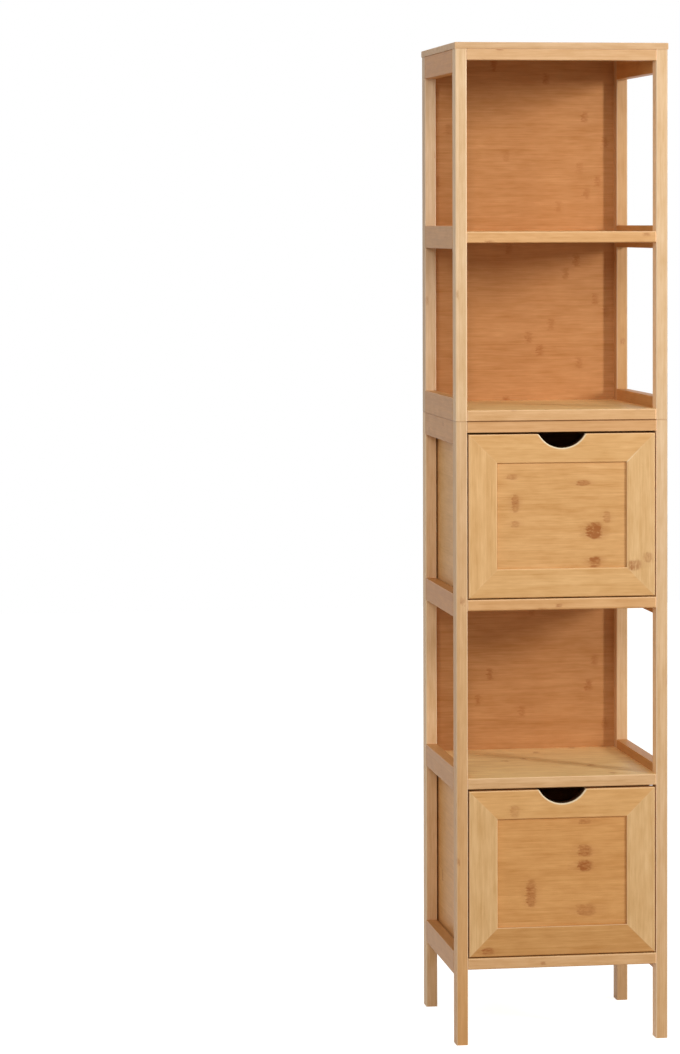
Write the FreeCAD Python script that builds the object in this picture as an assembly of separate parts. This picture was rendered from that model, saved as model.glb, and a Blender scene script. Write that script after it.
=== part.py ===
import FreeCAD, Part
import os

os.makedirs("parts", exist_ok=True)

# A tall bamboo cabinet: an open upper unit stacked on a lower unit with two inset drawers.
# Millimetres. X runs to the right as seen from the front, Y to the back, Z up.
# The origin is on the floor, in the middle of the footprint.

# Overall plan
WIDTH = 330.0                # over the posts
DEPTH = 300.0                # over the posts
POST_X = 18.0                # post section across the front
POST_Y = 26.0                # post section along the side

# Heights, from the floor up
LEG_HEIGHT = 115.5           # floor to the underside of the bottom board
BOARD_T = 17.0               # every shelf board, and the height of the front and back rails
LOWER_DRAWER_BAY = 259.5
LOWER_OPEN_BAY = 256.0
UPPER_DRAWER_BAY = 255.0
MIDDLE_OPEN_BAY = 254.5
TOP_OPEN_BAY = 260.5
TOP_PANEL_T = 10.0
TOP_OVERHANG = 1.0

# Side rails, and how far each hangs below the board that it carries
RAIL_H = 35.0
DROP_UNDER_DRAWER = 10.5
DROP_LOWER_SHELF = 4.0
DROP_UPPER_SHELF = 9.0
CROSS_RAIL_Y = 18.0          # front rail, front to back

# Edge treatment
POST_ROUND = 2.0
BOARD_ROUND = 2.0
RAIL_ROUND = 1.0
TOP_ROUND = 1.5
JOINT_CHAMFER = 0.6          # on the post ends where the two units meet

# Stub tenons of the rails
TENON_T = 8.0
TENON_LENGTH = 10.0
TENON_SHOULDER = 5.0         # above and below a side rail's tenon
CROSS_TENON_H = 7.0
BACK_TENON_INSET = 5.0       # back of the posts to the middle of the back rail's tenons
MORTISE_DEEPER = 0.5         # beyond the end of a tenon or tongue
JOINT_CLEARANCE = 0.05       # all round a tenon, tongue or key

# Back panels, held in grooves
BACK_T = 3.0
BACK_INSET = 3.0             # from the back of the posts to the back of the panels
BACK_GROOVE = 5.0            # into posts and boards
TOP_GROOVE = 4.0             # into the top panel
PANEL_CLEARANCE = 0.1        # either side of a panel in its groove
PANEL_SHORT = 0.5            # between a panel's edge and the groove's floor

# Loose tongues that join the boards to the side rails, and the upper unit to the lower one
TONGUE_T = 5.0
TONGUE_W = 40.0
TONGUE_IN_RAIL = 10.0
TONGUE_IN_BOARD = 14.0
TONGUE_IN_TOP = 6.0
TONGUE_Y = 45.0              # each side of the middle of the depth
UNIT_KEY_T = 6.0
UNIT_KEY_W = 24.0
UNIT_KEY_HALF = 15.0         # into each unit
UNIT_KEY_Y = 95.0

# Drawers
FRONT_SIDE_GAP = 2.0         # drawer front to post
FRONT_GAP_BELOW = 2.0
FRONT_GAP_ABOVE = 3.0
FRONT_T = 16.0
FRAME_W = 44.0
FRAME_ROUND = 2.0            # outer front edges of the frame, and the finger notch
FRAME_INNER_ROUND = 1.5
MITRE = 45.0                 # degrees
FIELD_T = 5.0                # panel in the frame
FIELD_SET_BACK = 4.0         # from the face of the frame
FIELD_GROOVE = 6.0
BOX_SIDE_GAP = 2.5           # drawer box to post and side rail
BOX_RUN_GAP = 0.3            # drawer box above the board that it slides on
BOX_BACK_GAP = 1.0           # drawer box to back panel
BOX_SIDE_T = 10.0
BOX_SIDE_LOWER = 2.0         # top of the sides below the top of the front
BOX_BACK_T = 10.0
BOX_BACK_INSET = 4.0
BOX_DADO = 3.0
BOX_ROUND = 1.5
BOTTOM_T = 4.0
BOTTOM_UP = 8.0
BOTTOM_GROOVE = 4.0
BOX_TENON_T = 5.0            # tenon of each side in the back of the front
BOX_TENON_LENGTH = 8.0
BOX_TENON_SHOULDER = 14.0    # above and below it

# Finger notch: a shallow arc in the top edge of each drawer front
NOTCH_R = 41.0
NOTCH_DEPTH = 21.6
NOTCH_FLARE = 4.0

# Loose keys across the mitres of the drawer fronts
KEY_LENGTH = 18.0
KEY_WIDTH = 10.0
KEY_T = 3.0
KEY_FROM_BACK = 1.5          # from the back of the front

# Places that follow
SIDE = WIDTH / 2
INNER = SIDE - POST_X        # inner face of the side frames
FRONT = -DEPTH / 2
BACK = DEPTH / 2
RAIL_END = DEPTH / 2 - POST_Y
BOTTOM_Z = LEG_HEIGHT
LOWER_SHELF_Z = BOTTOM_Z + BOARD_T + LOWER_DRAWER_BAY
DRAWER_SHELF_Z = LOWER_SHELF_Z + BOARD_T + LOWER_OPEN_BAY
LOWER_TOP_Z = DRAWER_SHELF_Z + BOARD_T + UPPER_DRAWER_BAY + BOARD_T
UPPER_SHELF_Z = LOWER_TOP_Z + BOARD_T + MIDDLE_OPEN_BAY
TOP_Z = UPPER_SHELF_Z + BOARD_T + TOP_OPEN_BAY + BOARD_T
BACK_FACE = BACK - BACK_INSET - BACK_T
X_AXIS = FreeCAD.Vector(1, 0, 0)
Y_AXIS = FreeCAD.Vector(0, 1, 0)
Z_AXIS = FreeCAD.Vector(0, 0, 1)
NEAR = 1e-4                  # places closer than this are the same


def block(x, y, z):
    """A box between the low and high value of each pair."""
    corner = FreeCAD.Vector(x[0], y[0], z[0])
    return Part.makeBox(x[1] - x[0], y[1] - y[0], z[1] - z[0], corner)


def grown(x, y, z, by):
    """The same box, larger by a clearance on every side."""
    return block((x[0] - by, x[1] + by), (y[0] - by, y[1] + by), (z[0] - by, z[1] + by))


def around(middle, size):
    """A range of a given size about its middle."""
    return (middle - size / 2, middle + size / 2)


def edges_along(shape, axis):
    """The straight edges of a shape that run along an axis."""
    found = []
    for edge in shape.Edges:
        run = edge.valueAt(edge.LastParameter) - edge.valueAt(edge.FirstParameter)
        if run.Length > NEAR and abs(abs(run.dot(axis)) - run.Length) < NEAR:
            found.append(edge)
    return found


def edges_in_plane(shape, axis, level):
    """The edges of a shape that lie wholly at one level along an axis."""
    found = []
    for edge in shape.Edges:
        middle = edge.valueAt((edge.FirstParameter + edge.LastParameter) / 2)
        points = [vertex.Point for vertex in edge.Vertexes] + [middle]
        if all(abs(point.dot(axis) - level) < NEAR for point in points):
            found.append(edge)
    return found


def mirrored_x(shape):
    return shape.mirror(FreeCAD.Vector(0, 0, 0), X_AXIS)


def mirrored_y(shape):
    return shape.mirror(FreeCAD.Vector(0, 0, 0), Y_AXIS)


# ---------------------------------------------------------------- side frames

def rail_levels():
    """Underside of each side rail, by name, and whether it is in the upper unit."""
    return {
        "bottom": (BOTTOM_Z - DROP_UNDER_DRAWER, False),
        "lower_shelf": (LOWER_SHELF_Z - DROP_LOWER_SHELF, False),
        "drawer_shelf": (DRAWER_SHELF_Z - DROP_UNDER_DRAWER, False),
        "lower_top": (LOWER_TOP_Z - RAIL_H, False),
        "middle_shelf": (LOWER_TOP_Z, True),
        "upper_shelf": (UPPER_SHELF_Z - DROP_UPPER_SHELF, True),
        "top": (TOP_Z - RAIL_H, True),
    }


def side_tenon_box(z):
    """The left front tenon of a side rail at this height, as ranges in X, Y and Z."""
    return (around(-SIDE + POST_X / 2, TENON_T),
            (-RAIL_END - TENON_LENGTH, -RAIL_END),
            (z + TENON_SHOULDER, z + RAIL_H - TENON_SHOULDER))


def left_side_rail(z):
    """A side rail, flush with the posts inside and out, with a stub tenon at each end."""
    bar = block((-SIDE, -INNER), (-RAIL_END, RAIL_END), (z, z + RAIL_H))
    bar = bar.makeFillet(RAIL_ROUND, edges_along(bar, Y_AXIS))
    tenon = block(*side_tenon_box(z))
    return bar.fuse([tenon, mirrored_y(tenon)]).removeSplitter()


def cross_tenon_box(y_middle, z):
    """The left tenon of a front or back rail, as ranges in X, Y and Z."""
    return ((-INNER - TENON_LENGTH, -INNER),
            around(y_middle, TENON_T),
            around(z + BOARD_T / 2, CROSS_TENON_H))


FRONT_RAIL_MIDDLE = FRONT + CROSS_RAIL_Y / 2
BACK_RAIL_Y = (RAIL_END, BACK)
BACK_TENON_MIDDLE = BACK - BACK_TENON_INSET


def cross_rail(y, z, tenon_middle, rounded_level):
    """A rail between two posts, its outer face rounded, with a stub tenon at each end."""
    bar = block((-INNER, INNER), y, (z, z + BOARD_T))
    bar = bar.makeFillet(RAIL_ROUND, edges_in_plane(bar, Y_AXIS, rounded_level))
    tenon = block(*cross_tenon_box(tenon_middle, z))
    return bar.fuse([tenon, mirrored_x(tenon)]).removeSplitter()


def side_mortise(z):
    x, y, height = side_tenon_box(z)
    return grown(x, (y[0] - MORTISE_DEEPER, y[1]), height, JOINT_CLEARANCE)


def cross_mortise(y_middle, z):
    x, y, height = cross_tenon_box(y_middle, z)
    return grown((x[0] - MORTISE_DEEPER, x[1]), y, height, JOINT_CLEARANCE)


# ---------------------------------------------------------------- back panels

def back_bays():
    """Each back panel's bay: clear height from board to board, and the grooves beyond it."""
    lower_rail = LOWER_TOP_Z - BOARD_T
    return {
        "back_panel_lower_drawer": (BOTTOM_Z + BOARD_T, LOWER_SHELF_Z, BACK_GROOVE),
        "back_panel_lower_open": (LOWER_SHELF_Z + BOARD_T, DRAWER_SHELF_Z, BACK_GROOVE),
        "back_panel_upper_drawer": (DRAWER_SHELF_Z + BOARD_T, lower_rail, BACK_GROOVE),
        "back_panel_middle_open": (LOWER_TOP_Z + BOARD_T, UPPER_SHELF_Z, BACK_GROOVE),
        "back_panel_top_open": (UPPER_SHELF_Z + BOARD_T, TOP_Z, TOP_GROOVE),
    }


def back_panel(low, high, top_groove):
    reach = INNER + BACK_GROOVE - PANEL_SHORT
    return block((-reach, reach),
                 (BACK_FACE, BACK_FACE + BACK_T),
                 (low - BACK_GROOVE + PANEL_SHORT, high + top_groove - PANEL_SHORT))


def back_groove(low, high, top_groove):
    """The space that posts and boards give up for a back panel."""
    reach = INNER + BACK_GROOVE
    return block((-reach, reach),
                 (BACK_FACE - PANEL_CLEARANCE, BACK_FACE + BACK_T + PANEL_CLEARANCE),
                 (low - BACK_GROOVE, high + top_groove))


GROOVES = [back_groove(*bay) for bay in back_bays().values()]


# ---------------------------------------------------------------- posts

def plain_post(low, high):
    """The left front post before its joints, rounded, and eased where the two units meet."""
    post = block((-SIDE, -INNER), (FRONT, -RAIL_END), (low, high))
    post = post.makeFillet(POST_ROUND, edges_along(post, Z_AXIS))
    return post.makeChamfer(JOINT_CHAMFER, edges_in_plane(post, Z_AXIS, LOWER_TOP_Z))


def left_post(upper, at_back):
    """A left post, with mortises for its rails and a groove for the back panels."""
    low, high = (LOWER_TOP_Z, TOP_Z) if upper else (0.0, LOWER_TOP_Z)
    post = plain_post(low, high)
    cross_level = high - BOARD_T
    pockets = [side_mortise(z) for z, in_upper in rail_levels().values() if in_upper == upper]
    if at_back:
        post = mirrored_y(post)
        pockets = [mirrored_y(pocket) for pocket in pockets]
        pockets += GROOVES
        if not upper:
            pockets.append(cross_mortise(BACK_TENON_MIDDLE, cross_level))
    else:
        pockets.append(cross_mortise(FRONT_RAIL_MIDDLE, cross_level))
    return post.cut(pockets)


# ---------------------------------------------------------------- loose tongues

def board_tongues():
    """The left tongues between shelf boards and side rails, as ranges in X, Y and Z."""
    levels = (BOTTOM_Z, LOWER_SHELF_Z, DRAWER_SHELF_Z, LOWER_TOP_Z, UPPER_SHELF_Z)
    x = (-INNER - TONGUE_IN_RAIL, -INNER + TONGUE_IN_BOARD)
    return [(x, around(y, TONGUE_W), around(z + BOARD_T / 2, TONGUE_T))
            for z in levels for y in (-TONGUE_Y, TONGUE_Y)]


def top_tongues():
    """The left tongues between the top side rail and the top panel."""
    x = around(-SIDE + POST_X / 2, TONGUE_T)
    z = (TOP_Z - TONGUE_IN_RAIL, TOP_Z + TONGUE_IN_TOP)
    return [(x, around(y, TONGUE_W), z) for y in (-TONGUE_Y, TONGUE_Y)]


def unit_keys():
    """The left keys that locate the upper unit on the lower one, in the rails that meet."""
    x = around(-SIDE + POST_X / 2, UNIT_KEY_T)
    z = around(LOWER_TOP_Z, 2 * UNIT_KEY_HALF)
    return [(x, around(y, UNIT_KEY_W), z) for y in (-UNIT_KEY_Y, UNIT_KEY_Y)]


def recess(box, along):
    """The space for a tongue: a clearance all round, and deeper along axis 0, 1 or 2."""
    ranges = [(low - JOINT_CLEARANCE, high + JOINT_CLEARANCE) for low, high in box]
    low, high = ranges[along]
    ranges[along] = (low - MORTISE_DEEPER, high + MORTISE_DEEPER)
    return block(*ranges)


BOARD_SLOTS = [recess(box, 0) for box in board_tongues()]
TOP_SLOTS = [recess(box, 2) for box in top_tongues()]
UNIT_SLOTS = [recess(box, 2) for box in unit_keys()]
LEFT_SLOTS = BOARD_SLOTS + TOP_SLOTS + UNIT_SLOTS


# ---------------------------------------------------------------- boards

def touching(shape, cutters):
    """Only the cutters that reach into a shape."""
    return [cutter for cutter in cutters if shape.BoundBox.intersect(cutter.BoundBox)]


def shelf_board(z):
    """A board between the side frames, its front edge rounded all round."""
    board = block((-INNER, INNER), (FRONT, BACK), (z, z + BOARD_T))
    board = board.makeFillet(BOARD_ROUND, edges_in_plane(board, Y_AXIS, FRONT))
    slots = BOARD_SLOTS + [mirrored_x(slot) for slot in BOARD_SLOTS]
    return board.cut(touching(board, slots + GROOVES))


def top_panel():
    half_x = SIDE + TOP_OVERHANG
    half_y = DEPTH / 2 + TOP_OVERHANG
    panel = block((-half_x, half_x), (-half_y, half_y), (TOP_Z, TOP_Z + TOP_PANEL_T))
    rounded = edges_along(panel, Z_AXIS) + edges_in_plane(panel, Z_AXIS, TOP_Z + TOP_PANEL_T)
    panel = panel.makeFillet(TOP_ROUND, rounded)
    slots = TOP_SLOTS + [mirrored_x(slot) for slot in TOP_SLOTS]
    return panel.cut(touching(panel, slots + GROOVES))


# ---------------------------------------------------------------- drawers

class Drawer:
    """One inset drawer, sized from the clear height of its bay."""

    def __init__(self, bay_low, bay_high):
        self.run = bay_low
        self.low = bay_low + FRONT_GAP_BELOW
        self.high = bay_high - FRONT_GAP_ABOVE
        self.half = INNER - FRONT_SIDE_GAP
        self.face = FRONT
        self.rear = FRONT + FRONT_T
        self.middle = (self.low + self.high) / 2
        self.box_half = INNER - BOX_SIDE_GAP
        self.box_low = bay_low + BOX_RUN_GAP
        self.box_high = self.high - BOX_SIDE_LOWER
        self.box_end = BACK_FACE - BOX_BACK_GAP
        self.back_face = self.box_end - BOX_BACK_INSET - BOX_BACK_T
        self.bottom_z = self.box_low + BOTTOM_UP

    def member(self, length, notched):
        """A frame member along X with its outer edge up, centred on the origin in X and Z.

        The outer edge lies at Z = 0. A field groove runs along the inner edge, and both
        ends are mitred.
        """
        half = length / 2
        bar = block((-half, half), (self.face, self.rear), (-FRAME_W, 0.0))
        if notched:
            centre = FreeCAD.Vector(0, self.face, NOTCH_R - NOTCH_DEPTH)
            bar = bar.cut(Part.makeCylinder(NOTCH_R, FRONT_T, centre, Y_AXIS))
            mouth = [edge for edge in edges_along(bar, Y_AXIS)
                     if abs(edge.Vertexes[0].X) < NOTCH_R and edge.BoundBox.ZMin > -NEAR]
            bar = bar.makeFillet(NOTCH_FLARE, mouth)
        outer = [edge for edge in edges_in_plane(bar, Y_AXIS, self.face)
                 if edge.BoundBox.ZMin > -FRAME_W + NEAR]
        bar = bar.makeFillet(FRAME_ROUND, outer)
        inner = [edge for edge in edges_in_plane(bar, Y_AXIS, self.face)
                 if edge.BoundBox.ZMax < -FRAME_W + NEAR]
        bar = bar.makeFillet(FRAME_INNER_ROUND, inner)
        field = self.face + FIELD_SET_BACK
        groove = block((-half, half),
                       (field - PANEL_CLEARANCE, field + FIELD_T + PANEL_CLEARANCE),
                       (-FRAME_W, -FRAME_W + FIELD_GROOVE))
        return bar.cut(groove).common(self.mitre_prism(half))

    def mitre_prism(self, half):
        """A trapezium between the two mitre planes of a member, as deep as the front."""
        outline = [(-half, 0), (half, 0), (half - FRAME_W, -FRAME_W), (FRAME_W - half, -FRAME_W)]
        points = [FreeCAD.Vector(x, self.face, z) for x, z in outline]
        face = Part.Face(Part.makePolygon(points + points[:1]))
        return face.extrude(Y_AXIS * FRONT_T)

    def placed(self, shape, turn, x, z):
        """A copy turned about Y, in degrees, with its origin moved to X, Z."""
        shape = shape.copy()
        shape.rotate(FreeCAD.Vector(0, 0, 0), Y_AXIS, turn)
        shape.translate(FreeCAD.Vector(x, 0, z))
        return shape

    def key_boxes(self, grow):
        """The loose keys across the four mitres, larger by a clearance if wanted."""
        y = self.rear - KEY_FROM_BACK - KEY_T / 2
        key = grown(around(0.0, KEY_LENGTH), around(y, KEY_T), around(0.0, KEY_WIDTH), grow)
        x = self.half - FRAME_W / 2
        z = self.high - FRAME_W / 2 - self.middle
        corners = ((x, z, -MITRE), (-x, z, MITRE), (x, -z, MITRE), (-x, -z, -MITRE))
        return [self.placed(key, turn, x, self.middle + z) for x, z, turn in corners]

    def side_tenon(self):
        """The tenon of the left side in the back of the front, as ranges in X, Y and Z."""
        return (around(-self.box_half + BOX_SIDE_T / 2, BOX_TENON_T),
                (self.rear - BOX_TENON_LENGTH, self.rear),
                (self.box_low + BOX_TENON_SHOULDER, self.box_high - BOX_TENON_SHOULDER))

    def left_side(self):
        """A box side with a tenon for the front, housed for the back, grooved for the bottom."""
        inside = -self.box_half + BOX_SIDE_T
        side = block((-self.box_half, inside), (self.rear, self.box_end),
                     (self.box_low, self.box_high))
        side = side.makeFillet(BOX_ROUND, edges_in_plane(side, Z_AXIS, self.box_high))
        dado = block((inside - BOX_DADO, inside),
                     (self.back_face - PANEL_CLEARANCE,
                      self.back_face + BOX_BACK_T + PANEL_CLEARANCE),
                     (self.bottom_z, self.box_high))
        groove = block((inside - BOTTOM_GROOVE, inside),
                       (self.rear, self.box_end),
                       (self.bottom_z - PANEL_CLEARANCE,
                        self.bottom_z + BOTTOM_T + PANEL_CLEARANCE))
        return side.cut([dado, groove]).fuse(block(*self.side_tenon())).removeSplitter()

    def back(self):
        reach = self.box_half - BOX_SIDE_T + BOX_DADO - PANEL_CLEARANCE
        return block((-reach, reach), (self.back_face, self.back_face + BOX_BACK_T),
                     (self.bottom_z + BOTTOM_T, self.box_high - BOX_ROUND))

    def tongue_groove(self):
        """The groove in the lower member of the front that the bottom's tongue enters."""
        inside = self.box_half - BOX_SIDE_T
        return block((-inside, inside),
                     (self.rear - BOTTOM_GROOVE, self.rear),
                     (self.bottom_z - PANEL_CLEARANCE, self.bottom_z + BOTTOM_T + PANEL_CLEARANCE))

    def bottom(self):
        """The bottom, grooved into the sides and with a narrower tongue at the front."""
        inside = self.box_half - BOX_SIDE_T
        reach = inside + BOTTOM_GROOVE - PANEL_CLEARANCE
        z = (self.bottom_z, self.bottom_z + BOTTOM_T)
        sheet = block((-reach, reach), (self.rear, self.back_face + BOX_BACK_T), z)
        tongue = block((PANEL_CLEARANCE - inside, inside - PANEL_CLEARANCE),
                       (self.rear - BOTTOM_GROOVE + PANEL_CLEARANCE, self.rear), z)
        return sheet.fuse(tongue).removeSplitter()

    def field(self):
        """The flat panel held in the grooves of the frame."""
        reach = FIELD_GROOVE - FRAME_W - PANEL_SHORT
        y = self.face + FIELD_SET_BACK
        return block((-self.half - reach, self.half + reach), (y, y + FIELD_T),
                     (self.low - reach, self.high + reach))

    def pieces(self):
        """Every piece of the drawer, by the end of its name."""
        across = self.member(2 * self.half, False)
        notched = self.member(2 * self.half, True)
        upright = self.member(self.high - self.low, False)
        mortise = recess(self.side_tenon(), 1)
        recesses = self.key_boxes(JOINT_CLEARANCE)
        recesses += [self.tongue_groove(), mortise, mirrored_x(mortise)]
        frame = {
            "front_top": self.placed(notched, 0, 0, self.high),
            "front_bottom": self.placed(across, 180, 0, self.low),
            "front_left": self.placed(upright, -90, -self.half, self.middle),
            "front_right": self.placed(upright, 90, self.half, self.middle),
        }
        pieces = {}
        for name, shape in frame.items():
            pieces[name] = shape.cut(touching(shape, recesses))
        left = self.left_side()
        pieces["front_panel"] = self.field()
        pieces["side_left"] = left
        pieces["side_right"] = mirrored_x(left)
        pieces["back"] = self.back()
        pieces["bottom"] = self.bottom()
        pieces["mitre_keys"] = Part.makeCompound(self.key_boxes(0.0))
        return pieces


# ---------------------------------------------------------------- the whole cabinet

def carcass():
    parts = {}
    for upper, unit in ((True, "upper"), (False, "lower")):
        for at_back, end in ((False, "front"), (True, "back")):
            post = left_post(upper, at_back)
            parts[f"{unit}_post_{end}_left"] = post
            parts[f"{unit}_post_{end}_right"] = mirrored_x(post)
    for name, (z, _) in rail_levels().items():
        rail = left_side_rail(z)
        rail = rail.cut(touching(rail, LEFT_SLOTS))
        parts[f"side_rail_{name}_left"] = rail
        parts[f"side_rail_{name}_right"] = mirrored_x(rail)
    front_y = (FRONT, FRONT + CROSS_RAIL_Y)
    cross_z = LOWER_TOP_Z - BOARD_T
    parts["upper_front_rail"] = cross_rail(front_y, TOP_Z - BOARD_T, FRONT_RAIL_MIDDLE, FRONT)
    parts["lower_front_rail"] = cross_rail(front_y, cross_z, FRONT_RAIL_MIDDLE, FRONT)
    back_rail = cross_rail(BACK_RAIL_Y, cross_z, BACK_TENON_MIDDLE, BACK)
    parts["lower_back_rail"] = back_rail.cut(touching(back_rail, GROOVES))
    parts["bottom_board"] = shelf_board(BOTTOM_Z)
    parts["lower_shelf"] = shelf_board(LOWER_SHELF_Z)
    parts["drawer_shelf"] = shelf_board(DRAWER_SHELF_Z)
    parts["middle_shelf"] = shelf_board(LOWER_TOP_Z)
    parts["upper_shelf"] = shelf_board(UPPER_SHELF_Z)
    parts["top_panel"] = top_panel()
    for name, bay in back_bays().items():
        parts[name] = back_panel(*bay)
    left_tongues = [block(*box) for box in board_tongues() + top_tongues()]
    left_keys = [block(*box) for box in unit_keys()]
    right_tongues = [mirrored_x(tongue) for tongue in left_tongues]
    right_keys = [mirrored_x(key) for key in left_keys]
    parts["board_tongues"] = Part.makeCompound(left_tongues + right_tongues)
    parts["unit_keys"] = Part.makeCompound(left_keys + right_keys)
    return parts


def main():
    parts = carcass()
    drawers = {
        "upper_drawer": Drawer(DRAWER_SHELF_Z + BOARD_T, LOWER_TOP_Z - BOARD_T),
        "lower_drawer": Drawer(BOTTOM_Z + BOARD_T, LOWER_SHELF_Z),
    }
    for drawer_name, drawer in drawers.items():
        for piece_name, shape in drawer.pieces().items():
            parts[f"{drawer_name}_{piece_name}"] = shape
    for name, shape in parts.items():
        shape.exportStep(f"parts/{name}.step")


main()
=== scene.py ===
import math
from collections import namedtuple

import bpy
import numpy as np
from bpy.props import FloatProperty, FloatVectorProperty, PointerProperty
from bpy.types import Operator, Panel, PropertyGroup
from mathutils import Matrix, Vector


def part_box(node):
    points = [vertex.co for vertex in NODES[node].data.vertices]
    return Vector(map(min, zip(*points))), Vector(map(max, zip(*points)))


bl_info = {
    "name": "Tall bamboo cabinet",
    "version": (1, 0, 0),
    "blender": (4, 5, 0),
    "location": "View3D > Sidebar > Cabinet",
    "description": "Dresses the cabinet in laminated bamboo and sets its studio",
    "category": "Object",
}

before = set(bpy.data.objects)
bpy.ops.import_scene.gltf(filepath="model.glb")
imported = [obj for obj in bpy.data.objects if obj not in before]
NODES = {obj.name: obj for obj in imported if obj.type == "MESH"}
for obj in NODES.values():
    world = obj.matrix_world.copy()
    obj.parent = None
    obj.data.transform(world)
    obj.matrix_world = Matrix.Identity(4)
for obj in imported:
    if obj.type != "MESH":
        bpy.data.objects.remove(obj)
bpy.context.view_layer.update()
SIDES = ("left", "right")
DRAWERS = ("upper_drawer", "lower_drawer")

# The cabinet stands on the floor at Z = 0 with its front towards -Y. Metres throughout.
FLOOR_Z = 0.0
UNIT_JOINT_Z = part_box("lower_front_rail")[1].z
POSTS_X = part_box("upper_post_front_right")[0].x
WHITE = (1.0, 1.0, 1.0, 1.0)

# How a kind of piece looks: how much its strips and fibres differ, the share of the knuckles
# that can be seen, how dark these are, and how dark the lines between the strips are.
Look = namedtuple("Look", "contrast share depth seam")
POST_LOOK = Look(0.5, 0.12, 0.45, 0.12)
SIDE_RAIL_LOOK = Look(0.5, 0.2, 0.45, 0.12)
CROSS_RAIL_LOOK = Look(0.5, 0.2, 0.5, 0.12)
BOARD_LOOK = Look(0.6, 0.35, 0.5, 0.15)
TOP_LOOK = Look(0.6, 0.35, 0.4, 0.15)
BACK_PANEL_LOOK = Look(0.6, 0.8, 0.5, 0.1)
FRAME_LOOK = Look(0.55, 0.0, 0.8, 0.0)
FIELD_LOOK = Look(0.6, 0.0, 0.8, 0.12)
BOX_LOOK = Look(0.5, 0.25, 0.5, 0.15)
TONGUE_LOOK = Look(0.4, 0.0, 0.0, 0.0)

# Each kind of mark in the wood: features per metre along the strips and across them.
FLECKS = (30, 420)
STREAKS = (11, 190)
BANDS = (2, 70)
CLOUDS = (22, 55)
RAGGED = (130, 330)

# How much each of them, and chance, makes one place paler or darker than another.
STRIP_WEIGHT = 0.45
BAND_WEIGHT = 0.9
STREAK_WEIGHT = 1.7
FLECK_WEIGHT = 1.5
CLOUD_WEIGHT = 1.5

# A knuckle placed by chance: where in its section of the strip it can start, how far from
# there it can be, and how ragged it is.
KNUCKLE_START = 0.3
KNUCKLE_RANGE = 0.4
KNUCKLE_RAGGED = 3

# How the fibres break a knuckle up: what the streaks and the ragged noise add to its mark,
# and what is taken from it all over.
KNUCKLE_STREAKS = 1.8
KNUCKLE_FRAY = 2.4
KNUCKLE_LOSS = 1.2

# A knuckle with a place of its own: how ragged it is across and up, how far its core reaches,
# and how fast its halo fades across and up and how strong it is.
PLACED_RAGGED_X = 2.2
PLACED_RAGGED_Z = 1.2
CORE_REACH = 1.6
HALO_FADE_X = 0.12
HALO_FADE_Z = 0.5
HALO_DEPTH = 0.35

# The lines on the drawer fronts: how bright a mitre's pale line is all along, where in the
# frame's width the painted highlight on the upper right one starts, and how dark the painted
# shade at the panel's border is.
FAINT_MITRE = 0.06
BRIGHT_START = 0.35
BORDER_DEPTH = 0.45

# How fast the painted highlights and shade of the rounded edges grow: as the surface turns away
# from the flat faces, and as it turns down or to the right.
ROUND_RATE = 6
LEAN_RATE = 3

# How golden each piece's wood is, at its foot and its head or all over.
POST_GOLD = {
    "upper_post_front_left": (0.1, 0.0),
    "upper_post_front_right": (0.0, 0.0),
    "upper_post_back_left": (0.3, 0.1),
    "upper_post_back_right": (1.0, 0.7),
    "lower_post_front_left": (1.0, 0.3),
    "lower_post_front_right": (0.45, 0.0),
    "lower_post_back_left": (0.3, 0.1),
    "lower_post_back_right": (0.5, 0.1),
}
SIDE_RAIL_GOLD = {
    "top": 0.4,
    "upper_shelf": 0.0,
    "middle_shelf": 0.1,
    "lower_top": 0.1,
    "drawer_shelf": 0.5,
    "lower_shelf": 0.2,
    "bottom": 0.1,
}
CROSS_RAIL_GOLD = {"upper_front_rail": 0.0, "lower_front_rail": 0.5, "lower_back_rail": 0.5}
BOARD_GOLD = {
    "upper_shelf": 0.5,
    "middle_shelf": 0.25,
    "drawer_shelf": 0.5,
    "lower_shelf": 0.1,
    "bottom_board": 0.3,
}
FRONT_GOLD = {
    "upper_drawer": {"top": 0.4, "bottom": 0.35, "left": 0.25, "right": 0.0, "panel": 0.05},
    "lower_drawer": {"top": 0.6, "bottom": 1.0, "left": 0.05, "right": 0.0, "panel": 0.5},
}
BOX_GOLD = {"upper_drawer": 0.0, "lower_drawer": 0.4}

# How bright the painted highlight on the upper right mitre is on each drawer.
BRIGHT_MITRE = {"upper_drawer": 0.7, "lower_drawer": 0.15}

# Knuckles that show on the drawer fronts: place across and up, half width, half height and
# how dark. The other pieces get theirs by chance.
FIELD_KNUCKLES = {
    "upper_drawer": (
        (0.051, 0.784, 0.0100, 0.0125, 1.0),
        (0.052, 0.737, 0.0080, 0.0085, 0.75),
        (-0.072, 0.828, 0.0050, 0.0120, 0.55),
        (-0.072, 0.797, 0.0060, 0.0060, 0.40),
        (0.034, 0.858, 0.0090, 0.0040, 0.65),
        (-0.077, 0.869, 0.0070, 0.0040, 0.45),
        (0.071, 0.805, 0.0050, 0.0090, 0.45),
    ),
    "lower_drawer": (
        (0.036, 0.293, 0.0100, 0.0085, 0.66),
        (0.036, 0.270, 0.0100, 0.0090, 0.80),
        (-0.048, 0.230, 0.0070, 0.0210, 0.60),
        (0.038, 0.202, 0.0130, 0.0085, 0.52),
        (0.036, 0.338, 0.0090, 0.0040, 0.50),
    ),
}
FRAME_KNUCKLES = {
    "upper_drawer": (
        (0.113, 0.732, 0.0090, 0.0080, 0.60),
        (0.134, 0.743, 0.0060, 0.0080, 0.45),
    ),
    "lower_drawer": (
        (-0.074, 0.357, 0.0060, 0.0090, 0.35),
        (-0.116, 0.143, 0.0080, 0.0055, 0.60),
    ),
}


# ---------------------------------------------------------------- shader expressions

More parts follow.
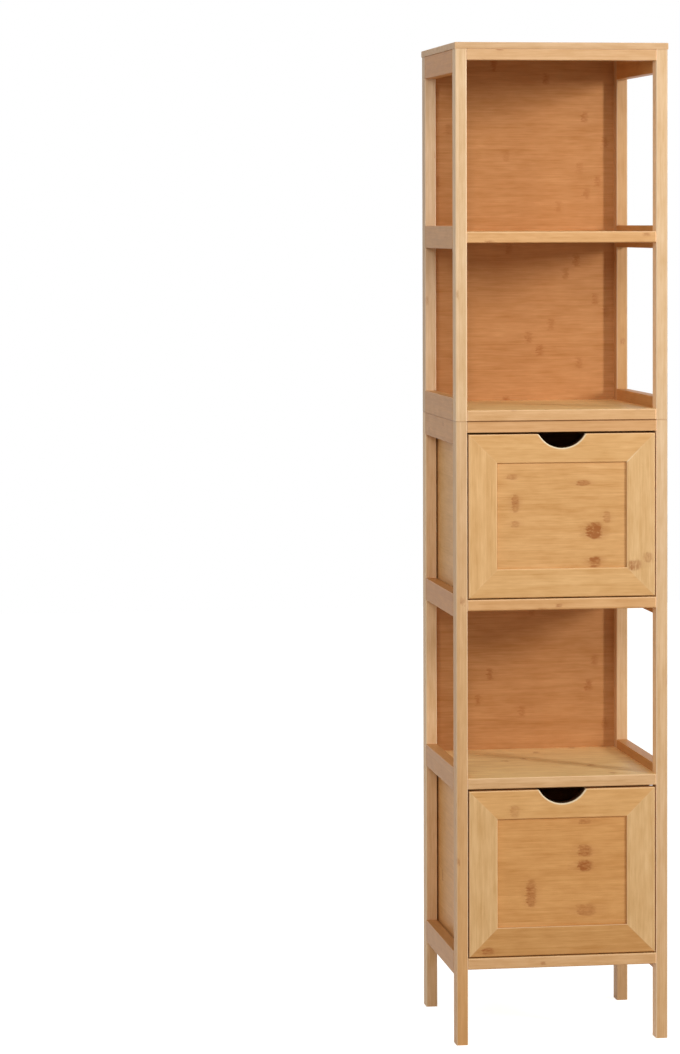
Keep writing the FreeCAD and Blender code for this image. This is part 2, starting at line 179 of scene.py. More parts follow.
class Sock:
    """A shader socket. Arithmetic on it adds Math nodes."""

    def __init__(self, shader, socket):
        self.shader = shader
        self.socket = socket

    def math(self, operation, *values):
        inputs = dict(enumerate(values))
        return self.shader.node("ShaderNodeMath", {"operation": operation}, inputs)

    def __add__(self, other):
        return self.math("ADD", self, other)

    def __radd__(self, other):
        return self.math("ADD", other, self)

    def __sub__(self, other):
        return self.math("SUBTRACT", self, other)

    def __rsub__(self, other):
        return self.math("SUBTRACT", other, self)

    def __mul__(self, other):
        return self.math("MULTIPLY", self, other)

    def __truediv__(self, other):
        return self.math("DIVIDE", self, other)

    def __pow__(self, other):
        return self.math("POWER", self, other)

    def __gt__(self, other):
        return self.math("GREATER_THAN", self, other)

    def __lt__(self, other):
        return self.math("LESS_THAN", self, other)

    def __abs__(self):
        return self.math("ABSOLUTE", self)

    def floor(self):
        return self.math("FLOOR", self)

    def fraction(self):
        return self.math("FRACT", self)

    def larger(self, other):
        return self.math("MAXIMUM", self, other)

    def clipped(self):
        """Held between 0 and 1."""
        return self.math("MAXIMUM", self.math("MINIMUM", self, 1.0), 0.0)


class Shader:
    """The nodes of a material or a world, added one by one."""

    def __init__(self, owner):
        owner.use_nodes = True
        self.owner = owner
        self.tree = owner.node_tree
        self.tree.nodes.clear()

    def node(self, kind, settings, inputs, output=0):
        """Adds a node: its settings first, then the values or links of its sockets."""
        made = self.tree.nodes.new(kind)
        for name, value in settings.items():
            setattr(made, name, value)
        for key, value in inputs.items():
            if isinstance(value, Sock):
                self.tree.links.new(value.socket, made.inputs[key])
            else:
                made.inputs[key].default_value = value
        return Sock(self, made.outputs[output]) if made.outputs else None

    def split(self, vector):
        """The three parts of a vector."""
        parts = self.node("ShaderNodeSeparateXYZ", {}, {0: vector})
        return [Sock(self, out) for out in parts.socket.node.outputs]

    def joined(self, x, y, z):
        return self.node("ShaderNodeCombineXYZ", {}, {0: x, 1: y, 2: z})

    def noise(self, x, y, z, detail):
        """Noise between 0 and 1 at a place, with features about 1 apart."""
        place = self.joined(x, y, z)
        inputs = {"Vector": place, "Scale": 1.0, "Detail": detail, "Roughness": 0.6}
        return self.node("ShaderNodeTexNoise", {"noise_dimensions": "3D"}, inputs)

    def chance(self, x, y, z):
        """Three random numbers between 0 and 1 for each place."""
        dice = self.node("ShaderNodeTexWhiteNoise", {"noise_dimensions": "3D"},
                         {"Vector": self.joined(x, y, z)}, "Color")
        return self.split(dice)

    def mix(self, factor, first, second):
        """One colour over another."""
        return self.node("ShaderNodeMix", {"data_type": "RGBA"},
                         {0: factor, 6: first, 7: second}, 2)

    def times(self, factor, colour, tint):
        """A colour multiplied by a tint, as far as the factor says."""
        return self.node("ShaderNodeMix", {"data_type": "RGBA", "blend_type": "MULTIPLY"},
                         {0: factor, 6: colour, 7: solid(tint)}, 2)

    def surface(self, shader_sock):
        self.node("ShaderNodeOutputMaterial", {}, {"Surface": shader_sock})


def solid(colour):
    """A colour as a node's colour value."""
    return tuple(colour) + (1.0,)


def tinted(colour, by):
    """A colour with each part scaled, as a node's colour value."""
    return solid(min(1.0, part * scale) for part, scale in zip(colour, by))


def soft_line(distance, width):
    """1 on a line, fading to 0 at one and a half widths from it."""
    return (1.5 - abs(distance) / width).clipped()


# ---------------------------------------------------------------- bamboo

class Grain:
    """The strips and fibres of a piece of laminated bamboo, in its shader."""

    def __init__(self, sh, strip):
        sizes = bpy.context.scene.bamboo_sizes
        grain = sh.node("ShaderNodeAttribute", {"attribute_name": "grain"}, {}, "Vector")
        piece = sh.node("ShaderNodeAttribute", {"attribute_name": "piece"}, {}, "Fac")
        self.sh = sh
        self.strip = strip
        self.piece = piece
        self.along, self.across, self.inward = sh.split(grain)
        self.in_strip = self.across / strip + sizes.first_strip
        self.row = self.in_strip.floor()
        self.ply = (self.inward / sizes.ply + sizes.first_strip).floor()
        self.luck, luck_too, _ = sh.chance(self.row, self.ply, piece)
        self.flecks = self.noise(FLECKS, self.luck * 50, piece * 5, 2)
        self.streaks = self.noise(STREAKS, luck_too * 50, piece * 3, 2)
        self.bands = self.noise(BANDS, self.luck * 9, piece * 7, 1)
        self.clouds = self.noise(CLOUDS, piece * 7, 0, 2)
        self.ragged = self.noise(RAGGED, self.luck * 9, piece * 9, 2)

    def noise(self, scale, shift, offset, detail):
        """Noise drawn out along the strips, and moved so that no two pieces show the same."""
        lengthwise, crosswise = scale
        return self.sh.noise(self.along * lengthwise + shift, self.across * crosswise,
                             self.inward * crosswise + offset, detail)

    def tone(self, contrast):
        """0 where the wood is darkest and 1 where it is palest."""
        tone = (self.luck - 0.5) * STRIP_WEIGHT + (self.bands - 0.5) * BAND_WEIGHT
        tone = tone + (self.streaks - 0.5) * STREAK_WEIGHT
        tone = tone + (self.flecks - 0.5) * FLECK_WEIGHT + (self.clouds - 0.5) * CLOUD_WEIGHT
        return (0.5 + tone * contrast).clipped()

    def chance_knuckles(self, share):
        """Knuckles on the share of the strips' sections that chance picks."""
        sizes = bpy.context.scene.bamboo_sizes
        run = self.along / sizes.knuckle_gap + self.luck
        seen, place, _ = self.sh.chance(run.floor(), self.row, self.piece * 3 + self.ply)
        off = run.fraction() - KNUCKLE_START - place * KNUCKLE_RANGE
        off = off * sizes.knuckle_gap / sizes.knuckle_length
        off = abs(off * 2 + (self.ragged - 0.5) * KNUCKLE_RAGGED)
        within_strip = 1 - abs(self.in_strip.fraction() * 2 - 1) ** 6
        mark = (1 - off * off).clipped() * within_strip * (seen > 1 - share)
        return mark * (0.3 + seen * 0.7)

    def placed_knuckle(self, x, z, knuckle):
        """One knuckle at its own place: a ragged core in a faint halo."""
        middle_x, middle_z, half_x, half_z, strength = knuckle
        way_x = (x - middle_x) / half_x + (self.ragged - 0.5) * PLACED_RAGGED_X
        way_z = (z - middle_z) / half_z + (self.clouds - 0.5) * PLACED_RAGGED_Z
        core = (CORE_REACH - way_x * way_x - way_z ** 4).clipped() * (0.5 + strength * 0.5)
        halo = 1 - way_x * way_x * HALO_FADE_X - way_z * way_z * HALO_FADE_Z
        return (core + halo.clipped() * HALO_DEPTH) * strength

    def fibres(self, mark):
        """A knuckle's mark broken up by the fibres."""
        broken = self.streaks * KNUCKLE_STREAKS + self.ragged * KNUCKLE_FRAY - KNUCKLE_LOSS
        return (mark * broken).clipped()

    def seams(self):
        """1 in the middle of the line between two strips."""
        seam = bpy.context.scene.bamboo_sizes.seam
        past = abs(self.in_strip.fraction() - 0.5) * 2 - (1 - 2 * seam / self.strip)
        return (past * self.strip / seam).clipped()


def facing(way, start, rate):
    """0 for a surface that looks elsewhere, growing at a rate from a start to 1."""
    return ((way - start) * rate).clipped()


def edge_highlights_and_shade(sh, wood, colour, faces, right_edge):
    """Painted highlights on rounded edges that look up or sideways, painted shade on those
    looking down.
    """
    sizes = bpy.context.scene.bamboo_sizes
    turned = 1 - abs(faces[0]).larger(abs(faces[1])).larger(abs(faces[2]))
    turned = (turned * ROUND_RATE).clipped()
    downward = (0 - faces[2] * LEAN_RATE).clipped()
    # Painted highlight on the rounded edges that look up or sideways, and painted shade on
    # those that look down.
    edge_highlight = turned * (1 - downward) * sizes.edge_highlight
    wood = sh.mix(edge_highlight, wood, tinted(colour, sizes.edge_highlight_tint))
    wood = sh.times(turned * downward, wood, sizes.lower_edge_shade)
    if right_edge:
        wood = sh.times(turned * (faces[0] * LEAN_RATE).clipped(), wood, right_edge)
    return wood


def bamboo(name, colour, strip, look, knuckles=(), detail=None, upper=None, left=None,
           right_edge=None):
    """Laminated bamboo, made of strips along the grain with their knuckles.

    strip is the width of one strip, and knuckles lists the knuckles that have a place of their
    own. detail adds what one piece alone has. upper paints light on the faces that look up and
    left paints light on those that look left; right_edge darkens the rounded edges that look
    right.
    """
    sizes = bpy.context.scene.bamboo_sizes
    knuckle_colour = bpy.context.scene.cabinet_colours.knuckle
    sh = Shader(bpy.data.materials.new(name))
    place = sh.split(sh.node("ShaderNodeTexCoord", {}, {}, "Object"))
    faces = sh.split(sh.node("ShaderNodeTexCoord", {}, {}, "Normal"))
    golden = sh.node("ShaderNodeAttribute", {"attribute_name": "golden"}, {}, "Fac")
    grain = Grain(sh, strip)

    wood = sh.mix(grain.tone(look.contrast), tinted(colour, sizes.dark_tint),
                  tinted(colour, sizes.pale_tint))
    mark = grain.chance_knuckles(look.share)
    for knuckle in knuckles:
        mark = mark.larger(grain.placed_knuckle(place[0], place[2], knuckle))
    wood = sh.mix(grain.fibres(mark) * look.depth, wood, solid(knuckle_colour))
    if look.seam:
        wood = sh.mix(grain.seams() * look.seam, wood, tinted(colour, sizes.seam_and_shade_tint))
    wood = sh.times(golden.clipped(), wood, sizes.golden_tint)
    wood = edge_highlights_and_shade(sh, wood, colour, faces, right_edge)
    # Painted light: faces that look left are made paler, standing in for light that falls on
    # them.
    if left:
        wood = sh.times(facing(0 - faces[0], 0.6, 4), wood, left)
    if detail:
        wood = detail(sh, place, wood)
    # Painted light: the faces that look up are made paler, as light from above would make them.
    if upper:
        wood = sh.times(facing(faces[2], 0.8, 6), wood, upper)

    bump = sh.node("ShaderNodeBump", {},
                   {"Strength": 0.1, "Distance": 0.0002, "Height": grain.streaks})
    sh.surface(sh.node("ShaderNodeBsdfPrincipled", {}, {
        "Base Color": wood,
        "Roughness": sizes.roughness + (grain.streaks - 0.5) * 0.1,
        "Specular IOR Level": 0.15,
        "Normal": bump,
    }))
    return sh.owner


def unit_joint_shade(sh, place, wood):
    """Painted shade in the joint between the two units: a dark line, fainter on posts and side
    rails.
    """
    sizes = bpy.context.scene.bamboo_sizes
    x, _, z = place
    at_the_side = abs(x) > POSTS_X
    depth = sizes.joint_depth - at_the_side * (sizes.joint_depth - sizes.joint_depth_side)
    line = soft_line(z - UNIT_JOINT_Z, sizes.joint_line) * depth
    return sh.times(line, wood, sizes.joint_tint)


def lay_grain(obj, along, across, golden):
    """Stores for each point what the finish needs.

    grain is its place along, across and through the grain, piece the piece's number, and
    golden how golden the wood is there, from the value at the piece's foot to the one at
    its head.
    """
    depth = ({"X", "Y", "Z"} - {along, across}).pop()
    order = ["XYZ".index(axis) for axis in (along, across, depth)]
    mesh = obj.data
    places = np.zeros(len(mesh.vertices) * 3)
    mesh.vertices.foreach_get("co", places)
    places = places.reshape(-1, 3)
    places = places - places.min(axis=0)
    height = places[:, 2] / places[:, 2].max()
    values = {
        "grain": ("FLOAT_VECTOR", "vector", places[:, order]),
        "piece": ("FLOAT", "value", np.full(len(places), sorted(NODES).index(obj.name))),
        "golden": ("FLOAT", "value", golden[0] + (golden[1] - golden[0]) * height),
    }
    for name, (kind, field, data) in values.items():
        layer = mesh.attributes.new(name, kind, "POINT")
        layer.data.foreach_set(field, data.astype(np.float32).ravel())


def dress(names, finish, along, across, golden=(0.0, 0.0)):
    """Gives CAD pieces a finish whose grain runs along one axis."""
    for name in names:
        obj = NODES[name]
        lay_grain(obj, along, across, golden)
        obj.data.materials.clear()
        obj.data.materials.append(finish)


# ---------------------------------------------------------------- settings

def colour_property(name, description, default):
    return FloatVectorProperty(name=name, description=description, subtype="COLOR",
                               default=default, min=0.0, max=1.0)


def length_property(name, description, default):
    return FloatProperty(name=name, description=description, default=default,
                         min=0.0, subtype="DISTANCE", unit="LENGTH")


def share_property(name, description, default):
    return FloatProperty(name=name, description=description, default=default,
                         min=0.0, max=1.0, subtype="FACTOR")


def scale_property(name, description, default):
    return FloatVectorProperty(name=name, description=description, default=default,
                               min=0.0, max=3.0)


class CabinetColours(PropertyGroup):
    """The mean colour of each kind of piece."""

    post: colour_property("Posts", "Mean colour of the posts", (0.765, 0.53, 0.305))
    # Back posts: a darker copy of the post colour, painted shade on the upper unit's back
    # posts.
    back_post: colour_property("Back posts", "Mean colour of the upper unit's back posts",
                               (0.65, 0.46, 0.285))
    warm_post: colour_property("Warm post", "Mean colour of the lower unit's front left post",
                               (0.715, 0.49, 0.28))
    # Pale post: a paler copy of the post colour, painted light on the lower unit's back left
    # post.
    pale_post: colour_property("Pale post", "Mean colour of the lower unit's back left post",
                               (0.82, 0.57, 0.335))
    side_rail: colour_property("Side rails", "Mean colour of the side rails",
                               (0.625, 0.325, 0.12))
    cross_rail: colour_property("Front rails", "Mean colour of the front and back rails",
                                (0.71, 0.44, 0.225))
    board: colour_property("Boards", "Mean colour of the shelves, bottom and top",
                           (0.74, 0.465, 0.235))
    top: colour_property("Top", "Mean colour of the top panel", (0.65, 0.41, 0.215))
    back_panel: colour_property("Back panels", "Mean colour of the thin back panels",
                                (0.55, 0.255, 0.092))
    drawer_frame: colour_property("Drawer frames", "Mean colour of the mitred frames",
                                  (0.76, 0.48, 0.22))
    brown_member: colour_property("Brown member", "Mean colour of the lower frame's foot",
                                  (0.67, 0.43, 0.215))
    drawer_field: colour_property("Drawer panels", "Mean colour of the framed panels",
                                  (0.71, 0.395, 0.155))
    drawer_box: colour_property("Drawer boxes", "Mean colour of the drawer boxes",
                                (0.78, 0.45, 0.18))
    knuckle: colour_property("Knuckles", "Colour of the darkest part of a knuckle",
                             (0.31, 0.075, 0.01))


class BambooSizes(PropertyGroup):
    """How the laminated bamboo is built up."""

    post_strip: length_property("Post strips", "Width of the strips in posts", 0.0091)
    rail_strip: length_property("Rail strips", "Width of the strips in rails", 0.0085)
    board_strip: length_property("Board strips", "Width of the strips in boards", 0.0205)
    frame_strip: length_property("Frame strips", "Width of the strips in drawer frames", 0.0074)
    panel_strip: length_property("Panel strips", "Width of the strips in thin panels", 0.0205)
    ply: length_property("Layers", "Thickness of one layer of strips", 0.0057)
    first_strip: share_property("First strip", "Share of a strip cut off at a piece's edge",
                                0.37)
    seam: length_property("Seams", "Width of the line between two strips", 0.00045)
    # The unit joint's line is painted shade where the two units meet.
    joint_line: length_property("Unit joint", "Width of the line between the two units", 0.0010)
    joint_depth: share_property("Unit joint's depth", "How dark that line is in front", 0.9)
    joint_depth_side: share_property("Unit joint at the side",
                                     "How dark that line is on posts and side rails", 0.3)
    joint_tint: scale_property("Unit joint's colour", "The line between the two units",
                               (0.42, 0.30, 0.20))
    knuckle_gap: length_property("Knuckle spacing", "Distance between knuckles on a strip",
                                 0.28)
    knuckle_length: length_property("Knuckle length", "Length of a knuckle along the grain",
                                    0.013)
    roughness: share_property("Roughness", "Roughness of the satin lacquer", 0.45)
    pale_tint: scale_property("Pale strips", "The palest wood against the mean colour",
                              (1.14, 1.20, 1.32))
    dark_tint: scale_property("Dark strips", "The darkest wood against the mean colour",
                              (0.84, 0.76, 0.64))
    # Seam colour: the real lines between strips, also used for the painted shade at the drawer
    # panels' border.
    seam_and_shade_tint: scale_property("Seam colour", "The seams against the mean colour",
                              (0.62, 0.50, 0.38))
    golden_tint: scale_property("Golden wood", "The most golden wood against the palest",
                                (0.95, 0.76, 0.52))
    # Board tops: painted light, the upper faces of the boards made paler as light from above
    # would make them.
    top_light_tint: scale_property("Board tops", "The upper faces of boards against their edges",
                               (1.32, 1.52, 1.42))
    # The next three settings paint light and shade on the rounded edges: highlights on those
    # that look up or sideways, shade on those that look down.
    edge_highlight_tint: scale_property("Rubbed edges", "Rounded edges against the mean colour",
                              (1.30, 1.42, 1.65))
    lower_edge_shade: scale_property("Lower edges", "Rounded edges that look down",
                               (0.86, 0.78, 0.68))
    edge_highlight: share_property("Rubbing", "How much the rounded edges are rubbed", 0.85)
    # Inner faces: painted light, the front right posts' faces that look left made paler.
    inner_face_light: scale_property("Inner faces", "The right posts' faces that look left",
                               (1.35, 1.45, 1.60))
    outer_edge: scale_property("Outer edges", "The right posts' edges that look right",
                               (0.76, 0.78, 0.84))


class FrontSizes(PropertyGroup):
    """What shows on the drawer fronts besides the strips."""

    notch_radius: length_property("Notch radius", "Radius of the finger notch's arc", 0.041)
    notch_depth: length_property("Notch depth", "Depth of the finger notch", 0.0216)
    rim: length_property("Notch rim", "Width of the pale line round the notch", 0.0019)
    mitre: length_property("Mitre", "Width of the pale line at a mitre", 0.0011)
    # Border: painted shade where the panel meets the frame.
    border: length_property("Border", "Width of the dark line where the panel meets the frame",
                            0.0012)
    wall: length_property("Notch wall", "How near the notch's arc its wall lies", 0.0004)
    # Pale lines: the colour of the bare wood at the notch and the mitres, also used for their
    # painted highlights.
    pale: colour_property("Pale lines", "Colour of the bare wood at the notch and the mitres",
                          (0.95, 0.80, 0.56))
    # Notch wall: painted shade, the wall of the finger notch made nearly black.
    notch_wall_shade: colour_property("Notch wall", "Colour of the wall of the notch",
                              (0.06, 0.025, 0.01))


class StudioSettings(PropertyGroup):
    """The camera, the lamp, the daylight and the floor."""

    camera_place: FloatVectorProperty(
        name="Camera", description="Place of the camera", subtype="TRANSLATION",
        unit="LENGTH", default=(-1.1237, -5.4861, 1.2564))
    camera_turn: FloatProperty(
        name="Turn", description="Turn of the camera from straight ahead to the right",
        subtype="ANGLE", default=0.14541)
    camera_tilt: FloatProperty(
        name="Tilt", description="Tilt of the camera below the horizon",
        subtype="ANGLE", default=0.032735)
    camera_roll: FloatProperty(
        name="Roll", description="Roll of the camera about its view",
        subtype="ANGLE", default=0.0027844)
    lens: FloatProperty(
        name="Focal length", description="Focal length, in millimetres", min=1.0,
        default=122.02)
    drop: FloatProperty(
        name="Drop", description="Vertical shift of the lens, in frame heights",
        default=-0.17742)
    lamp_place: FloatVectorProperty(
        name="Lamp", description="Place of the tall soft lamp at the front right",
        subtype="TRANSLATION", unit="LENGTH", default=(3.09, -3.04, 2.1))
    lamp_width: length_property("Lamp width", "Width of the tall lamp", 0.45)
    lamp_height: length_property("Lamp height", "Height of the tall lamp", 1.2)
    lamp_power: FloatProperty(
        name="Lamp power", description="Power of the tall lamp, in watts", min=0.0,
        unit="POWER", default=23.7)
    fill_place: FloatVectorProperty(
        name="Fill", description="Place of the wide, weak lamp in front",
        subtype="TRANSLATION", unit="LENGTH", default=(-1.64, -3.87, 2.4))
    fill_width: length_property("Fill width", "Width of the lamp in front", 1.6)
    fill_height: length_property("Fill height", "Height of the lamp in front", 1.4)
    fill_power: FloatProperty(
        name="Fill power", description="Power of the lamp in front, in watts", min=0.0,
        unit="POWER", default=12.0)
    lamp_aim: FloatVectorProperty(
        name="Aim", description="Where both lamps point", subtype="TRANSLATION",
        unit="LENGTH", default=(0.0, 0.0, 1.6))
    lamp_spread: FloatProperty(
        name="Spread", description="Angle over which the lamps spread their light",
        subtype="ANGLE", default=math.radians(82), min=0.02, max=math.pi)
    daylight: FloatProperty(
        name="Daylight", description="Strength of the even light all round", min=0.0,
        default=0.37)
    daylight_tint: colour_property("Daylight colour", "Colour of the even light all round",
                                   (1.0, 0.93, 0.83))
    floor_size: length_property("Floor", "Width of the floor", 12.0)
    floor_tone: share_property("Floor tone", "How much light the floor returns", 0.8)
    floor_glow: share_property("Floor glow", "White added where the camera sees the floor",
                               0.84)


# ---------------------------------------------------------------- pieces

class CABINET_OT_posts(Operator):
    """Dresses the eight posts, with the grain upright"""

    bl_idname = "cabinet.posts"
    bl_label = "Posts"

    def execute(self, context):
        colours = context.scene.cabinet_colours
        sizes = context.scene.bamboo_sizes
        # The upper back posts get a darker copy of the post finish as painted shade, and the
        # lower back left post a paler copy as painted light.
        own_colour = {
            "upper_post_back_left": "back_post",
            "upper_post_back_right": "back_post",
            "lower_post_front_left": "warm_post",
            "lower_post_back_left": "pale_post",
        }
        finishes = {
            kind: bamboo(f"bamboo_{kind}", getattr(colours, kind), sizes.post_strip, POST_LOOK,
                         detail=unit_joint_shade)
            for kind in ("post", "back_post", "warm_post", "pale_post")
        }
        # The front right posts get a copy of the post finish with painted light on their inner
        # faces and darker rounded edges that look right.
        finishes["right"] = bamboo("bamboo_right_post", colours.post, sizes.post_strip,
                                   POST_LOOK, detail=unit_joint_shade, left=sizes.inner_face_light,
                                   right_edge=sizes.outer_edge)
        for name, golden in POST_GOLD.items():
            kind = "right" if name.endswith("front_right") else own_colour.get(name, "post")
            dress([name], finishes[kind], "Z", "X", golden)
        return {"FINISHED"}


class CABINET_OT_rails(Operator):
    """Dresses the side rails and the front and back rails, with the grain lengthwise"""

    bl_idname = "cabinet.rails"
    bl_label = "Rails"

    def execute(self, context):
        strip = context.scene.bamboo_sizes.rail_strip
        colours = context.scene.cabinet_colours
        side = bamboo("bamboo_rail", colours.side_rail, strip, SIDE_RAIL_LOOK,
                      detail=unit_joint_shade)
        for place, amount in SIDE_RAIL_GOLD.items():
            names = [f"side_rail_{place}_{end}" for end in SIDES]
            dress(names, side, "Y", "Z", (amount, amount))
        cross = bamboo("bamboo_cross_rail", colours.cross_rail, strip, CROSS_RAIL_LOOK,
                       detail=unit_joint_shade)
        for name, amount in CROSS_RAIL_GOLD.items():
            dress([name], cross, "X", "Z", (amount, amount))
        return {"FINISHED"}


class CABINET_OT_boards(Operator):
    """Dresses the shelves, the bottom and the top, with the grain from side to side"""

    bl_idname = "cabinet.boards"
    bl_label = "Boards"

    def execute(self, context):
        sizes = context.scene.bamboo_sizes
        colours = context.scene.cabinet_colours
        # The boards' finish has painted light on its upper faces.
        finish = bamboo("bamboo_board", colours.board, sizes.board_strip, BOARD_LOOK,
                        detail=unit_joint_shade, upper=sizes.top_light_tint)
        for name, amount in BOARD_GOLD.items():
            dress([name], finish, "X", "Y", (amount, amount))
        top = bamboo("bamboo_top", colours.top, sizes.board_strip, TOP_LOOK)
        dress(["top_panel"], top, "X", "Y")
        return {"FINISHED"}


class CABINET_OT_back_panels(Operator):
    """Dresses the thin panels at the back of the bays"""

    bl_idname = "cabinet.back_panels"
    bl_label = "Back panels"

    def execute(self, context):
        finish = bamboo("bamboo_back_panel", context.scene.cabinet_colours.back_panel,
                        context.scene.bamboo_sizes.panel_strip, BACK_PANEL_LOOK)
        dress([name for name in NODES if name.startswith("back_panel_")], finish, "X", "Z")
        return {"FINISHED"}


class CABINET_OT_drawer_fronts(Operator):
    """Dresses the mitred frames, each member along its length, and their panels"""

    bl_idname = "cabinet.drawer_fronts"
    bl_label = "Drawer fronts"

    def execute(self, context):
        self.sizes = context.scene.front_sizes
        strips = context.scene.bamboo_sizes
        colours = context.scene.cabinet_colours
        for drawer in DRAWERS:
            self.bright = BRIGHT_MITRE[drawer]
            self.measure(drawer)
            wood = (strips.frame_strip, FRAME_LOOK, FRAME_KNUCKLES[drawer], self.pale_lines)
            member = bamboo(f"{drawer}_frame_bamboo", colours.drawer_frame, *wood)
            own_finish = {
                "panel": bamboo(f"{drawer}_field_bamboo", colours.drawer_field,
                                strips.panel_strip, FIELD_LOOK, FIELD_KNUCKLES[drawer],
                                self.border_shade),
            }
            if drawer == "lower_drawer":
                own_finish["bottom"] = bamboo(f"{drawer}_brown_bamboo", colours.brown_member,
                                              *wood)
            for place, amount in FRONT_GOLD[drawer].items():
                along, across = "ZX" if place in SIDES else "XZ"
                dress([f"{drawer}_front_{place}"], own_finish.get(place, member), along,
                      across, (amount, amount))
        return {"FINISHED"}

    def measure(self, drawer):
        """Reads the drawer front's outline and its frame's width from the solids."""
        low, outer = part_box(f"{drawer}_front_left")
        self.face = low.y
        self.top = outer.z
        self.middle = (low.z + outer.z) / 2
        self.half_height = (outer.z - low.z) / 2
        self.half_width = -low.x
        self.frame_width = outer.x - low.x

    def pale_lines(self, sh, place, wood):
        """The notch's rim and the mitres pale, with painted highlights; the notch's wall
        painted shade.
        """
        sizes = self.sizes
        x, y, z = place
        up = z - self.middle
        off_mitre = abs(x) - abs(up) - (self.half_width - self.half_height)
        inside = ((self.half_width - abs(x)) / self.frame_width - BRIGHT_START).clipped()
        # The faint line is the mitre's own pale line; the part added at the upper right is a
        # painted highlight.
        bright = FAINT_MITRE + inside * (x > 0) * (up > 0) * self.bright
        mitre = soft_line(off_mitre, sizes.mitre) * bright
        arc_up = z - (self.top - sizes.notch_depth + sizes.notch_radius)
        from_arc = (x * x + arc_up * arc_up) ** 0.5 - sizes.notch_radius
        # The rim round the notch: paler bare wood and a painted highlight where its rounded
        # edge catches the light.
        rim = (1.4 - from_arc / sizes.rim).clipped()
        wood = sh.mix(mitre.larger(rim), wood, solid(sizes.pale))
        # Painted shade: the notch's wall behind the rim is made nearly black.
        inward = ((y - self.face) / sizes.rim - 1).clipped()
        wall = (from_arc < sizes.wall) * inward
        return sh.mix(wall, wood, solid(sizes.notch_wall_shade))

    def border_shade(self, sh, place, wood):
        """Painted shade: the narrow dark line at the left and right, where the panel meets the
        frame.
        """
        inside = self.half_width - self.frame_width - abs(place[0])
        line = soft_line(inside, self.sizes.border) * BORDER_DEPTH
        return sh.times(line, wood, bpy.context.scene.bamboo_sizes.seam_and_shade_tint)


class CABINET_OT_drawer_boxes(Operator):
    """Dresses the sides, backs and bottoms of the drawer boxes"""

    bl_idname = "cabinet.drawer_boxes"
    bl_label = "Drawer boxes"

    def execute(self, context):
        finish = bamboo("bamboo_drawer_box", context.scene.cabinet_colours.drawer_box,
                        context.scene.bamboo_sizes.board_strip, BOX_LOOK)
        for drawer, amount in BOX_GOLD.items():
            golden = (amount, amount)
            dress([f"{drawer}_side_{side}" for side in SIDES], finish, "Y", "Z", golden)
            dress([f"{drawer}_back"], finish, "X", "Z", golden)
            dress([f"{drawer}_bottom"], finish, "X", "Y", golden)
        return {"FINISHED"}


class CABINET_OT_joinery(Operator):
    """Dresses the loose tongues and keys inside the joints"""

    bl_idname = "cabinet.joinery"
    bl_label = "Joinery"

    def execute(self, context):
        finish = bamboo("tongue_wood", context.scene.cabinet_colours.post,
                        context.scene.bamboo_sizes.post_strip, TONGUE_LOOK)
        dress(["board_tongues"], finish, "X", "Y")
        dress(["unit_keys"], finish, "Z", "Y")
        dress([f"{drawer}_mitre_keys" for drawer in DRAWERS], finish, "X", "Z")
        return {"FINISHED"}


# ---------------------------------------------------------------- studio

def seen_directly(shader):
    """1 for what the camera, a mirror or a glass shows, 0 for light that falls on things."""
    path = shader.node("ShaderNodeLightPath", {}, {}, "Is Camera Ray")
    outputs = path.socket.node.outputs
    glossy = Sock(shader, outputs["Is Glossy Ray"])
    through = Sock(shader, outputs["Is Transmission Ray"])
    return path.larger(glossy).larger(through)


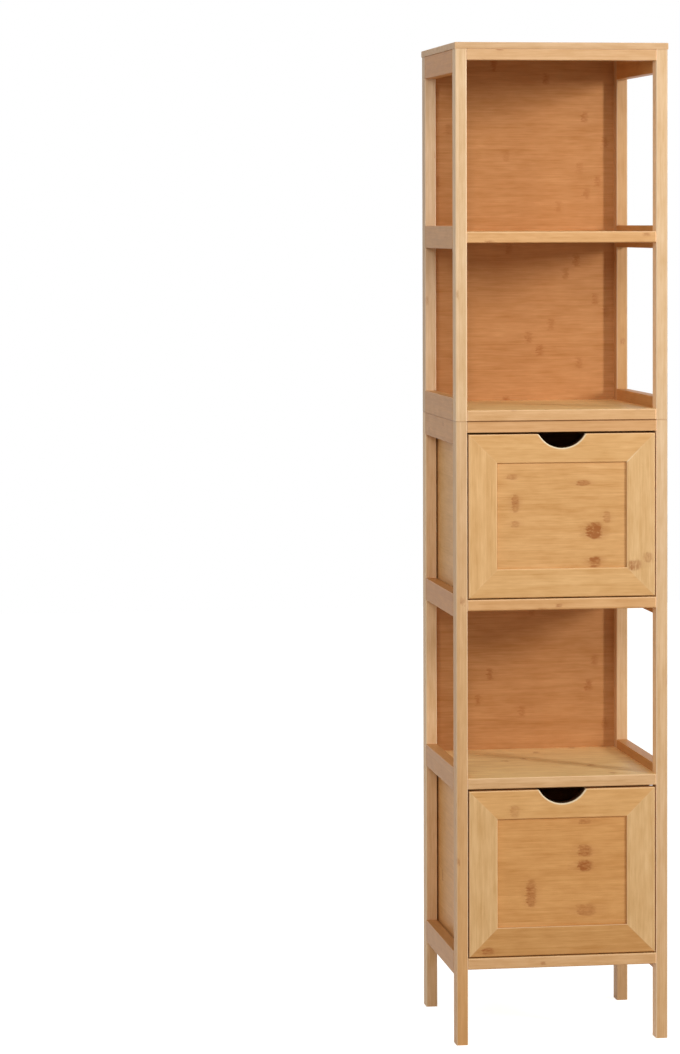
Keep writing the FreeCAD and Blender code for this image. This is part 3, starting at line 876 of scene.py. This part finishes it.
class CABINET_OT_studio(Operator):
    """Lays the white floor, sets the soft lamp and the daylight, and places the camera"""

    bl_idname = "cabinet.studio"
    bl_label = "Studio"

    def execute(self, context):
        studio = context.scene.studio
        self.lay_floor(studio)
        self.set_daylight(context.scene, studio)
        for lamp in ("lamp", "fill"):
            self.set_lamp(lamp, studio)
        self.set_camera(context.scene, studio)
        context.scene.view_settings.view_transform = "Standard"
        return {"FINISHED"}

    def lay_floor(self, studio):
        bpy.ops.mesh.primitive_plane_add(size=studio.floor_size, location=(0, 0, FLOOR_Z))
        floor = bpy.context.object
        floor.name = "floor"
        sh = Shader(bpy.data.materials.new("floor_white"))
        matt = sh.node("ShaderNodeBsdfDiffuse", {}, {"Color": solid([studio.floor_tone] * 3)})
        strength = seen_directly(sh) * studio.floor_glow
        glow = sh.node("ShaderNodeEmission", {}, {"Strength": strength})
        sh.surface(sh.node("ShaderNodeAddShader", {}, {0: matt, 1: glow}))
        floor.data.materials.append(sh.owner)

    def set_daylight(self, scene, studio):
        scene.world = bpy.data.worlds.new("daylight")
        sh = Shader(scene.world)
        direct = seen_directly(sh)
        strength = studio.daylight + direct * (1 - studio.daylight)
        colour = sh.mix(direct, solid(studio.daylight_tint), WHITE)
        sky = sh.node("ShaderNodeBackground", {}, {"Color": colour, "Strength": strength})
        sh.node("ShaderNodeOutputWorld", {}, {"Surface": sky})

    def set_lamp(self, name, studio):
        place = Vector(getattr(studio, f"{name}_place"))
        turn = (Vector(studio.lamp_aim) - place).to_track_quat("-Z", "Y").to_euler()
        bpy.ops.object.light_add(type="AREA", location=place, rotation=turn)
        lamp = bpy.context.object
        lamp.name = name
        lamp.data.shape = "RECTANGLE"
        lamp.data.size = getattr(studio, f"{name}_width")
        lamp.data.size_y = getattr(studio, f"{name}_height")
        lamp.data.energy = getattr(studio, f"{name}_power")
        lamp.data.spread = studio.lamp_spread

    def set_camera(self, scene, studio):
        turn = (Matrix.Rotation(-studio.camera_turn, 4, "Z")
                @ Matrix.Rotation(math.pi / 2 - studio.camera_tilt, 4, "X")
                @ Matrix.Rotation(-studio.camera_roll, 4, "Z"))
        bpy.ops.object.camera_add(location=studio.camera_place, rotation=turn.to_euler())
        camera = bpy.context.object
        camera.name = "camera"
        camera.data.sensor_fit = "AUTO"
        camera.data.lens = studio.lens
        camera.data.shift_y = studio.drop
        camera.data.clip_end = 100.0
        scene.camera = camera


# ---------------------------------------------------------------- add-on

GROUPS = {
    "cabinet_colours": CabinetColours,
    "bamboo_sizes": BambooSizes,
    "front_sizes": FrontSizes,
    "studio": StudioSettings,
}

STEPS = (
    CABINET_OT_posts,
    CABINET_OT_rails,
    CABINET_OT_boards,
    CABINET_OT_back_panels,
    CABINET_OT_drawer_fronts,
    CABINET_OT_drawer_boxes,
    CABINET_OT_joinery,
    CABINET_OT_studio,
)


class CABINET_PT_panel(Panel):
    """The cabinet's settings and steps"""

    bl_idname = "CABINET_PT_panel"
    bl_label = "Cabinet"
    bl_space_type = "VIEW_3D"
    bl_region_type = "UI"
    bl_category = "Cabinet"

    def draw(self, context):
        for group in GROUPS:
            settings = getattr(context.scene, group)
            box = self.layout.box()
            for name in settings.__annotations__:
                box.prop(settings, name)
        for step in STEPS:
            self.layout.operator(step.bl_idname)


def register():
    """Adds the settings, the steps and the panel."""
    for name, group in GROUPS.items():
        bpy.utils.register_class(group)
        setattr(bpy.types.Scene, name, PointerProperty(type=group))
    for step in STEPS:
        bpy.utils.register_class(step)
    bpy.utils.register_class(CABINET_PT_panel)


def unregister():
    """Takes away what register added."""
    bpy.utils.unregister_class(CABINET_PT_panel)
    for step in reversed(STEPS):
        bpy.utils.unregister_class(step)
    for name, group in reversed(GROUPS.items()):
        delattr(bpy.types.Scene, name)
        bpy.utils.unregister_class(group)


def main():
    """Runs the steps in order."""
    register()
    bpy.ops.object.select_all(action="DESELECT")
    bpy.ops.cabinet.posts()
    bpy.ops.cabinet.rails()
    bpy.ops.cabinet.boards()
    bpy.ops.cabinet.back_panels()
    bpy.ops.cabinet.drawer_fronts()
    bpy.ops.cabinet.drawer_boxes()
    bpy.ops.cabinet.joinery()
    bpy.ops.cabinet.studio()


if __name__ == "__main__":
    main()
